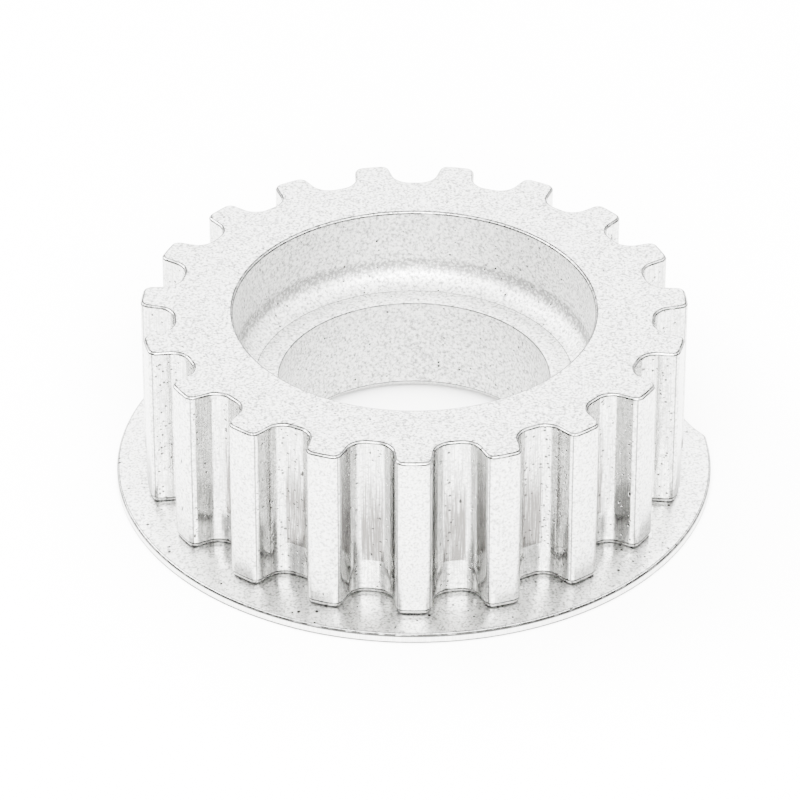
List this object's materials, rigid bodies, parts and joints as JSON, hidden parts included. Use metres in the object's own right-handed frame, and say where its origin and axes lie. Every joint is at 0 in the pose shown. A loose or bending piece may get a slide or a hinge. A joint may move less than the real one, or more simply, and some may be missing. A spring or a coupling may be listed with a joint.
{
  "type": "timing belt pulley",
  "caption": "Toothed timing belt pulley with one dished guide flange, a stepped counterbore and a keyed through bore.",
  "frame": {"origin": "on the bore's axis, in the plane of the guide flange's lower rim", "axes": "+Z along the bore's axis from the guide flange to the open face; one tooth and the keyway are centred on -Y; the flange's notch is 17.4 degrees from +X towards +Y"},
  "size_m": [0.0618, 0.0618, 0.0198],
  "materials": {
    "hub_steel": "sintered steel, sized and satin, faintly speckled",
    "flange_steel": "cold-rolled sheet steel, punched and dished, satin"
  },
  "bodies": {
    "root": {"toothed_hub": "hub_steel", "guide_flange": "flange_steel"}
  },
  "joints": []
}
